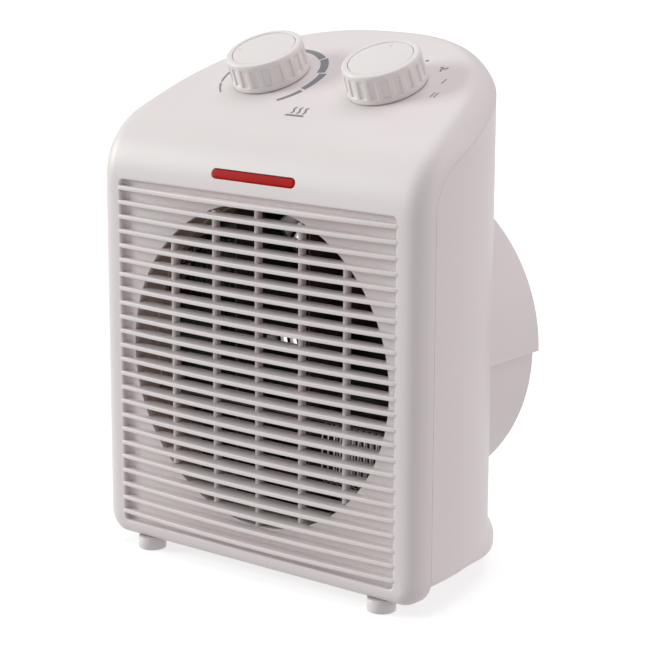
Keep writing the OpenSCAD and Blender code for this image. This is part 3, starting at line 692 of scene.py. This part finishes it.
def cap(name, x, pointer, body):
    """Inset disc with a slight crown and a round pointer dimple."""
    b = Builder()
    count, top, r = 240, KNOB_GAP + KNOB_H - 0.12, GROOVE_R - 0.22
    a = -math.radians(pointer) + math.pi / 2
    dimple = np.array([math.cos(a), math.sin(a)]) * POINTER_RING
    profile = [(0.01, -CAP_T), (r, -CAP_T), (r, -0.35), (r - 0.1, -0.1), (r - 0.35, 0.0)]
    profile += [(q, 0.0) for q in np.linspace(r - 0.7, 8.4, 17)] + [(6, 0), (3, 0), (0.01, 0)]
    rings = []
    for radius, z in profile:
        ring = []
        for i in range(count):
            t = i * 2 * math.pi / count
            p = np.array([math.cos(t), math.sin(t)]) * radius
            crown = 0.22 * (1 - (radius / r) ** 2) if z > -0.5 else 0
            near = np.linalg.norm(p - dimple) / POINTER_R
            dip = POINTER_D * (1 - near ** 2) if near < 1 and z == 0 else 0
            ring.append((p[0], p[1], top + z + crown - dip))
        rings.append(panel_place(ring, x))
    b.loft(rings)
    return finish_piece(b.object(name, 40), "knob", body, [name.replace("_disc", "_cap")])


# ---------------------------------------------------------------- grille

def blade_outline(z, inset):
    """Plan outline of a blade: the front edge, the deep part inside the outlet and the ends."""
    front = [(-BLADE_HALF_L, 0.5), (-BLADE_HALF_L + 1.0, 0.05 - 0.5 * BLADE_PROUD)]
    reach = BLADE_HALF_L - BLADE_FADE
    for x in np.linspace(-reach, reach, 25):
        front.append((x, -BLADE_PROUD - BLADE_BOW * (1 - (x / reach) ** 2)))
    front += [(BLADE_HALF_L - 1.0, 0.05 - 0.5 * BLADE_PROUD), (BLADE_HALF_L, 0.5)]
    front = [(x, y + inset) for x, y in front]
    over = OUTLET_R ** 2 - (z - AXIS_H) ** 2
    chord = math.sqrt(over) - 0.15 if over > 0 else 0
    back = RECESS_D + 0.2
    shape = front + [(BLADE_HALF_L, back)]
    if chord > 4:
        shape += [(chord, back), (chord, BLADE_D), (-chord, BLADE_D), (-chord, back)]
    return shape + [(-BLADE_HALF_L, back)]


def blade(b, z):
    rings = []
    flat = BLADE_HALF_T - BLADE_ROUND
    for share in (-1, -0.96, -0.85, -0.7, -0.45, 0.45, 0.7, 0.85, 0.96, 1):
        t = share * BLADE_HALF_T
        over = max(0.0, abs(t) - flat)
        inset = BLADE_ROUND - math.sqrt(max(0, BLADE_ROUND ** 2 - over ** 2))
        ring = []
        for x, y in blade_outline(z, inset):
            ring.append((x, y, z + t * (1 - 0.22 * max(0, y) / BLADE_D)))
        rings.append(ring)
    b.loft(rings)


def bar(b, x):
    half = math.sqrt(OUTLET_R ** 2 - (abs(x) + BAR_W / 2) ** 2)
    section = [(-0.5, 0.5), (-0.46, 0.28), (-0.33, 0.1), (-0.16, 0.0), (0.16, 0.0), (0.33, 0.1),
               (0.46, 0.28), (0.5, 0.5)]
    outline = [(x + BAR_W * sx, BAR_FRONT + BAR_W * sy) for sx, sy in section]
    outline += [(x + BAR_W * 0.42, BLADE_D), (x - BAR_W * 0.42, BLADE_D)]
    b.loft([[(px, py, z) for px, py in outline] for z in (AXIS_H - half, AXIS_H + half)])


def grille():
    b = Builder()
    for i in range(BLADE_COUNT):
        blade(b, BLADE_FIRST + i * BLADE_PITCH)
    for i in range(-2, 3):
        bar(b, i * BAR_PITCH)
    return finish_piece(b.object("outlet_louvres", 40), "shell", replaced=["front_grille"])


# ---------------------------------------------------------------- rear moulding

SKIRT_START, SKIRT_SPREAD, SKIRT_DROP, SKIRT_OUT = 0.30, 0.55, 8.4, 3.6
SKIRT_TOP, SKIRT_FADE, SKIRT_HIGH = 26.0, 9.0, 34.0
HEEL_R, HEEL_GROWTH = 3.0, 4.5
WALL_ROWS, HOLLOW_REACH = 14, 12.0


def wall_profile(theta, inset):
    """(offset from the core outline, height) from below the seam to the floor of the case."""
    grow = ease((plan_point(theta)[1] / CORE_D - SKIRT_START) / SKIRT_SPREAD)
    low = REAR_BOTTOM - SKIRT_DROP * grow + inset
    r = HEEL_R + HEEL_GROWTH * grow - 0.8 * inset
    out = EDGE_R - inset
    points = []
    for z in np.linspace(SKIRT_HIGH, low + r, 18):
        points.append((out + SKIRT_OUT * grow * ease((SKIRT_TOP - z) / SKIRT_FADE), z))
    centre = points[-1][0] - r
    for a in np.linspace(0, math.pi / 2, 10)[1:]:
        points.append((centre + r * math.cos(a), low + r - r * math.sin(a)))
    return resample(points, 30)


def resample(points, count):
    """The same polyline with evenly spaced points."""
    p = np.asarray(points, float)
    s = np.concatenate([[0], np.cumsum(np.linalg.norm(np.diff(p, axis=0), axis=1))])
    t = np.linspace(0, s[-1], count)
    return np.stack([np.interp(t, s, p[:, 0]), np.interp(t, s, p[:, 1])], 1)


def wall_columns(inset):
    """Columns of the rear form on the right, from the front edge to the middle of the back."""
    columns = []
    first = theta_at(SEAM_GAP)
    for theta in [first] + [t for t in STATIONS if t > theta_at(4 * SEAM_GAP)]:
        x, y, n = plan_point(theta)
        if theta == first:
            n = np.array([1.0, 0, 0])
        base = np.array([x, EDGE_R + y, 0])
        top = top_height(y) - SEAM_GAP
        profile = wall_profile(theta, inset)
        out = profile[0][0]
        column = []
        if inset:
            column.append(base + out * n + (0, 0, top + HOLLOW_REACH))
        else:
            column.append(base + (out - CHAMFER) * n + (0, 0, top))
            column.append(base + out * n + (0, 0, top - CHAMFER))
        for z in np.linspace(top - 2, SKIRT_HIGH + 2, WALL_ROWS - len(column)):
            column.append(base + out * n + (0, 0, z))
        column += [base + o * n + (0, 0, z) for o, z in profile]
        columns.append(np.array(column))
    return columns


def rear_form(name, inset):
    """Closed form of the rear moulding: outside with no inset, hollow with the wall's."""
    b = Builder()
    right = wall_columns(inset)
    columns = right[:-1] + [mirrored(c) for c in right[::-1]]
    if inset:
        for end in (columns[0], columns[-1]):
            end[:, 1] -= HOLLOW_REACH
    made = [b.add(c) for c in columns]
    for p, q in zip(made, made[1:]):
        b.strip(p, q, closed=False)
    b.strip(made[-1], made[0], closed=False)
    half = len(made) // 2
    for level in (0, -1):
        for i in range(half):
            left, right_side = made[i], made[-1 - i]
            if i + 1 <= len(made) - 2 - i:
                quad = (left[level], made[i + 1][level], made[-2 - i][level], right_side[level])
                b.faces.append(tuple(dict.fromkeys(quad)))
    return b.object(name)


def drum_solid():
    """Outer form of the intake drum; hood_solid() makes its stepped upper half."""
    b = Builder()
    edge = 0.6
    profile = [(0.01, DRUM_FRONT), (DRUM_R, DRUM_FRONT), (DRUM_R, DRUM_D - edge),
               (DRUM_R - 0.18, DRUM_D - 0.18), (DRUM_R - edge, DRUM_D), (0.01, DRUM_D)]
    b.loft(lathe(profile, 160))
    return b.object("drum")


def hood_solid():
    b = Builder()
    r, back, edge = DRUM_R + HOOD_STEP, DRUM_D + HOOD_STEP, 0.7
    a = np.linspace(0, math.pi, 81)
    profile = [(20, DRUM_FRONT), (r, DRUM_FRONT), (r, back - edge), (r - 0.2, back - 0.2),
               (r - edge, back), (20, back)]
    rings = [[(q * math.cos(t), y, AXIS_H + q * math.sin(t)) for q, y in profile] for t in a]
    b.loft(rings)
    return b.object("hood")


def screw_places():
    return [(x, z) for x in (-SCREW_X, SCREW_X) for z in SCREW_HEIGHTS]


def rod(r, start, end):
    """Profile of a plain solid cylinder for lathe() or upright_lathe()."""
    return [(0.01, start), (r, start), (r, end), (0.01, end)]


def rear_cutters():
    """Bore of the drum, screw wells, gland hole and feet sockets, as separate closed solids."""
    b = Builder()
    r, back = INTAKE_R, DRUM_D
    bore = [(0.01, DRUM_FRONT - 1), (r, DRUM_FRONT - 1), (r, back - 0.5), (r + 0.15, back - 0.15),
            (r + 0.5, back), (r + 0.5, back + 20), (0.01, back + 20)]
    b.loft(lathe(bore, 160))
    for x, z in screw_places():
        b.loft(lathe(rod(SCREW_WELL_R, 50, 140), 32, (x, z)))
    b.loft(lathe(rod(GLAND_R + 0.15, 60, 140), 40, (GLAND_X, GLAND_Z)))
    for x in (-REAR_FOOT_X, REAR_FOOT_X):
        b.loft(upright_lathe(rod(REAR_FOOT_R + 0.15, -5, 9), 48, x, REAR_FOOT_Y))
    return b.object("rear_cutters")


def bosses():
    b = Builder()
    for x, z in screw_places():
        b.loft(lathe(rod(BOSS_R, 45, 130), 32, (x, z)))
    return b.object("bosses")


def rear_moulding():
    shell = rear_form("rear_moulding", 0.0)
    clip = bosses()
    keep = rear_form("clip", 0.8)
    boolean(clip, keep, "INTERSECT")
    boolean(shell, rear_form("hollow", WALL), "DIFFERENCE")
    boolean(shell, clip, "UNION")
    boolean(shell, drum_solid(), "UNION")
    boolean(shell, hood_solid(), "UNION")
    boolean(shell, rear_cutters(), "DIFFERENCE")
    tidy(shell)
    smooth(shell, 30)
    even_normals(shell)
    return finish_piece(shell, "shell", replaced=["rear_shell"])


# ---------------------------------------------------------------- small parts

def front_feet():
    b = Builder()
    top, r = FRONT_BOTTOM - 0.02, FRONT_FOOT_R
    profile = [(0.01, 0.4), (4.6, 0.4), (5.0, 0.0), (r - 0.6, 0.0), (r - 0.2, 0.2), (r - 0.05, 0.6),
               (r, 5.8), (r - 0.2, top), (0.01, top)]
    for x in (-FRONT_FOOT_X, FRONT_FOOT_X):
        b.loft(upright_lathe(profile, 64, x, FRONT_FOOT_Y))
    return finish_piece(b.object("front_foot_pair", 40), "shell", replaced=["front_feet"])


def rear_feet():
    b = Builder()
    r = REAR_FOOT_R
    profile = [(0.01, 0.6), (4.5, 0.6), (5.0, 0.0), (r - 0.7, 0.0), (r - 0.2, 0.25), (r, 0.8),
               (r, REAR_FOOT_H), (0.01, REAR_FOOT_H)]
    for x in (-REAR_FOOT_X, REAR_FOOT_X):
        b.loft(upright_lathe(profile, 64, x, REAR_FOOT_Y))
    return finish_piece(b.object("rear_foot_pair", 40), "rubber", replaced=["rear_feet"])


def intake_guard():
    """Concentric rings with rounded backs, spokes and a domed hub."""
    b = Builder()
    front, back, outer, hub, ring_w, rings, spokes = 110.0, 113.0, 76.9, 15.0, 2.0, 9, 12
    pitch = (outer - hub) / (rings + 1)
    for i in range(1, rings + 2):
        r = hub + i * pitch
        section = [(r, front), (r, back - 0.6), (r - 0.25, back - 0.12), (r - 0.7, back),
                   (r - ring_w + 0.7, back), (r - ring_w + 0.25, back - 0.12),
                   (r - ring_w, back - 0.6), (r - ring_w, front)]
        b.loft(lathe(section + section[:1], 128), caps=False)
    b.loft(lathe([(0.01, front), (hub, front), (hub, back - 0.8), (hub - 0.3, back - 0.2),
                  (hub - 1.0, back), (hub / 2, back + 0.5), (0.01, back + 0.7)], 96))
    for i in range(spokes):
        a = i * 2 * math.pi / spokes
        along = np.array([math.cos(a), 0, math.sin(a)])
        side = np.array([-math.sin(a), 0, math.cos(a)])
        section = [(-1.2, front), (-1.2, back - 1.5), (-0.7, back - 1.0), (0.7, back - 1.0),
                   (1.2, back - 1.5), (1.2, front)]
        b.loft([[np.array([0, y, AXIS_H]) + q * along + s * side for s, y in section]
                for q in (hub - 1, outer - 1)])
    guard = finish_piece(b.object("intake_guard", 40), "shell", replaced=["intake_grille"])
    # Faces looking forward into the casing take the black fan finish: painted shade on the inner side
    # of the white guard
    guard.data.materials.append(FINISH["fan_plastic"])
    for face in guard.data.polygons:
        face.material_index = int(face.center.y < (front + 0.5 + FRONT_Y) * MM)
    return guard


def gland():
    """Ribbed bush with an inner flange, bored for a cord."""
    b = Builder()
    r, bore, end, rib_d, flange_r = GLAND_R, GLAND_BORE_R, GLAND_END, 0.6, 8.0
    profile = [(bore, end), (bore + 0.2, end), (r - 0.5, end), (r - 0.1, end - 0.4), (r, end - 1)]
    for y in np.arange(104.0, 92.0, -2.0):
        profile += [(r, y), (r, y - 0.9), (r - rib_d, y - 1.1), (r - rib_d, y - 1.8)]
    profile += [(r, 91.5), (r, 84.4), (flange_r, 84.4), (flange_r, 82), (bore, 82)]
    b.loft(lathe(profile + profile[:1], 56, (GLAND_X, GLAND_Z)), caps=False)
    return finish_piece(b.object("gland", 40), "shell", replaced=["cord_gland"])


def fan():
    """Five helicoid blades on a cupped hub."""
    b = Builder()
    start, hub_r, hub_d, tip_r, blades, reach = 50.0, 13.0, 16.0, 69.0, 5, math.radians(70)
    hub = [(2.0, start), (hub_r - 1, start), (hub_r, start + 1), (hub_r, start + hub_d),
           (hub_r - 2, start + hub_d), (hub_r - 2, start + 2), (4, start + 2), (4, start + hub_d - 2),
           (2.0, start + hub_d - 2)]
    b.loft(lathe(hub + hub[:1], 64), caps=False)
    for i in range(blades):
        base = i * 2 * math.pi / blades
        front, back = [], []
        for u in np.linspace(0, 1, 15):
            r = hub_r - 0.6 + (tip_r - hub_r + 0.6) * u
            sweep = reach * (0.92 + 0.08 * ease(u * 1.4)) * (1 - 0.10 * max(0, u - 0.8) / 0.2)
            rows = [[], []]
            for v in np.linspace(0, 1, 17):
                a = base + sweep * (v - 0.5) + 0.12 * u
                depth = start + 1 + (hub_d - 2.6) * (v + 0.10 * math.sin(math.pi * v))
                for row, shift in zip(rows, (0, 1.5)):
                    row.append((r * math.cos(a), depth + shift, AXIS_H + r * math.sin(a)))
            front.append(rows[0])
            back.append(rows[1][::-1])
        b.loft([np.vstack([f, k]) for f, k in zip(front, back)])
    return finish_piece(b.object("fan_wheel", 50), "fan_plastic", "fan_rotor", ["fan"])


# ---------------------------------------------------------------- heating element

WINDING = {"start": 25.2, "end": 68.0, "pitch": 3.5, "top": 23.6, "bottom": 54.0, "front": 17.5,
           "back": 31.0, "wire_r": 0.42, "limit_r": 73.0}


def winding_path(turn):
    """Flat helix of wire between two boards; turn 1 or -1 picks the corner."""
    w = WINDING
    turns = (w["end"] - w["start"]) / w["pitch"]
    points = []
    for t in np.linspace(0, turns, int(turns * 26)):
        x = w["start"] + t * w["pitch"]
        low = min(w["bottom"], math.sqrt(w["limit_r"] ** 2 - x ** 2))
        a = 2 * math.pi * t
        c, s = math.cos(a), math.sin(a)
        up = math.copysign(abs(c) ** 0.42, c)
        deep = math.copysign(abs(s) ** 0.75, s)
        z = -(w["top"] + low) / 2 + up * (low - w["top"]) / 2
        y = (w["front"] + w["back"]) / 2 + deep * (w["back"] - w["front"]) / 2
        points.append((turn * x, y, AXIS_H + turn * z))
    return points


def windings():
    b = Builder()
    for turn in (1, -1):
        tube(b, winding_path(turn), WINDING["wire_r"])
    coils = finish_piece(b.object("heating_windings", 60), "coil", replaced=["heating_coils"])
    # Faces of the left winding take the near-black copy of the wire: painted shade, not a different
    # or oxidised wire
    coils.data.materials.append(FINISH["shaded_coil"])
    for face in coils.data.polygons:
        face.material_index = int(face.center.x < 0)
    return coils


# ---------------------------------------------------------------- printed marks

PRINT_T, PRINT_LIFT = 0.06, 0.04


def printed(name, outlines, x):
    """Thin raised print: closed outlines of (x, y) in a knob's own panel frame."""
    b = Builder()
    for outline in outlines:
        rings = []
        for lift in (-0.05, PRINT_LIFT + PRINT_T):
            rings.append(panel_place([(px, py, lift - panel_drop(px, py)) for px, py in outline], x))
        b.loft(rings)
    return finish_piece(b.object(name, 30), "shell", look="print")


def compass(r, angle):
    """A point at a radius and an angle clockwise from the back."""
    a = math.radians(angle)
    return r * math.sin(a), r * math.cos(a)


def band(r, start, end, w0, w1):
    """Curved bar whose width grows from w0 to w1 along the arc."""
    steps = max(6, int(abs(end - start) / 3))
    inner, outer = [], []
    for i in range(steps + 1):
        t = i / steps
        w = w0 + (w1 - w0) * t
        inner.append(compass(r - w / 2, start + (end - start) * t))
        outer.append(compass(r + w / 2, start + (end - start) * t))
    return inner + outer[::-1]


def stroke(p, q, w):
    p, q = np.array(p, float), np.array(q, float)
    along = unit(q - p)
    side = np.array([-along[1], along[0]]) * w / 2
    return [tuple(p - side), tuple(q - side), tuple(q + side), tuple(p + side)]


def disc(centre, r, count=20, squash=1.0, turn=0.0):
    points = []
    for i in range(count):
        a = i * 2 * math.pi / count
        u, v = r * math.cos(a), r * squash * math.sin(a)
        points.append((centre[0] + u * math.cos(turn) - v * math.sin(turn),
                       centre[1] + u * math.sin(turn) + v * math.cos(turn)))
    return points


SCALE = ((221, 244, 0.7, 1.0), (247, 275, 1.0, 1.3), (279, 322, 1.3, 1.8), (326, 357, 1.8, 2.3),
         (1, 41, 2.4, 3.6), (44, 76, 3.9, 4.2), (79, 110, 4.0, 3.2), (113, 138, 2.6, 1.8))


def thermostat_scale():
    outlines = []
    for start, end, w0, w1 in SCALE:
        middle = 25.6 + 3.2 * ease((start - 20) / 90) * (start < 180)
        outlines.append(band(middle, start, end, w0, w1))
    printed("thermostat_marks", outlines, -KNOB_X)


def selector_marks():
    outlines = [disc(compass(26.2, 11), 0.9)]
    hub = np.array(compass(26.6, 43))
    for i in range(3):
        a = math.radians(120 * i + 20)
        centre = hub + 1.5 * np.array([math.cos(a), math.sin(a)])
        outlines.append(disc(centre, 1.3, 16, 0.42, a + 0.5))
    outlines.append(disc(hub, 0.4, 12))
    one = np.array(compass(27.2, 72))
    outlines.append(stroke(one - (0, 2.1), one + (0, 2.1), 0.55))
    two = np.array(compass(29.0, 98))
    for shift in (-0.95, 0.95):
        outlines.append(stroke(two + (shift, -2.1), two + (shift, 2.1), 0.55))
    printed("selector_marks", outlines, KNOB_X)


def warm_air_sign():
    """Generic sign: a shallow tray under three rising waves."""
    x0, y0 = 3.5, -31.2
    low, high = y0 - 1.9, y0 - 0.6
    outlines = [[(x0 - 5.6, low), (x0 + 5.6, low), (x0 + 4.9, high), (x0 - 4.9, high)]]
    for shift in (-3.4, 0.0, 3.4):
        left, right = [], []
        for t in np.linspace(0, 1, 12):
            x = x0 + shift + 0.6 * math.sin(2 * math.pi * t)
            y = y0 + 0.4 + 5.4 * t
            left.append((x - 0.5, y))
            right.append((x + 0.5, y))
        outlines.append(left + right[::-1])
    printed("warm_air_sign", outlines, 0.0)


# ---------------------------------------------------------------- stage

CAMERA_AT = (0.6231, -0.7939, 0.3466)
CAMERA_AZIMUTH, CAMERA_ELEVATION, CAMERA_ROLL = 38.349, 12.952, 0.172
CAMERA_LENS, SENSOR_W = 120.2, 36.0


def add_camera():
    """Camera in front of the heater, to its right and a little above it."""
    data = bpy.data.cameras.new("camera")
    data.sensor_width, data.lens = SENSOR_W, CAMERA_LENS
    data.clip_start, data.clip_end = 0.05, 60.0
    camera = bpy.data.objects.new("camera", data)
    camera.matrix_world = (Matrix.Translation(CAMERA_AT)
                           @ Matrix.Rotation(math.radians(CAMERA_AZIMUTH), 4, "Z")
                           @ Matrix.Rotation(math.radians(90 - CAMERA_ELEVATION), 4, "X")
                           @ Matrix.Rotation(math.radians(CAMERA_ROLL), 4, "Z"))
    bpy.context.scene.collection.objects.link(camera)
    bpy.context.scene.camera = camera


def add_sun(name, strength, spread, towards, colour=(1, 1, 1)):
    data = bpy.data.lights.new(name, "SUN")
    data.energy, data.angle, data.color = strength, math.radians(spread), colour
    light = bpy.data.objects.new(name, data)
    light.rotation_mode = "QUATERNION"
    light.rotation_quaternion = Vector(towards).to_track_quat("-Z", "Y")
    bpy.context.scene.collection.objects.link(light)


FLOOR_HALF, FLOOR_STEPS, FLOOR_GLOW = 14000.0, 12, 0.62


def add_floor():
    """Pale floor that glows a little but does not light the casing from below."""
    b = Builder()
    marks = np.linspace(-FLOOR_HALF, FLOOR_HALF, FLOOR_STEPS)
    b.grid([[(x, y - FRONT_Y, 0.0) for x in marks] for y in marks])
    floor = b.object("floor")
    pale = material("pale_floor", (0.55, 0.55, 0.55), 0.9, specular=0.0, tint=0.002, grain=60,
                    bump=0.0, rough_spread=0.03)
    shader = pale.node_tree.nodes["Principled BSDF"]
    shader.inputs["Emission Color"].default_value = (1, 1, 1, 1)
    shader.inputs["Emission Strength"].default_value = FLOOR_GLOW
    floor.data.materials.append(pale)
    floor.visible_diffuse = False


def add_stage():
    scene = bpy.context.scene
    world = bpy.data.worlds.new("studio")
    world.use_nodes = True
    world.node_tree.nodes["Background"].inputs["Color"].default_value = (1, 1, 1, 1)
    world.node_tree.nodes["Background"].inputs["Strength"].default_value = 0.50
    scene.world = world
    scene.view_settings.view_transform = "Standard"
    add_sun("top_light", 0.95, 50, (0.0, -0.05, -1))
    add_sun("key_light", 1.95, 25, (0.85, 0.45, -0.3), (0.90, 1.0, 0.94))
    add_sun("side_light", 0.55, 40, (-0.8, -0.5, -0.35), (1.0, 0.94, 0.93))
    add_floor()
    add_camera()


# ---------------------------------------------------------------- assembly

def build():
    add_stage()
    dress_cad_nodes()
    front_moulding()
    lens()
    grille()
    rear_moulding()
    intake_guard()
    front_feet()
    rear_feet()
    gland()
    fan()
    windings()
    knob("thermostat_dial", -KNOB_X, "thermostat_dial")
    knob("selector_dial", KNOB_X, "selector_dial")
    cap("thermostat_disc", -KNOB_X, THERMOSTAT_POINTER, "thermostat_dial")
    cap("selector_disc", KNOB_X, SELECTOR_POINTER, "selector_dial")
    thermostat_scale()
    selector_marks()
    warm_air_sign()


build()
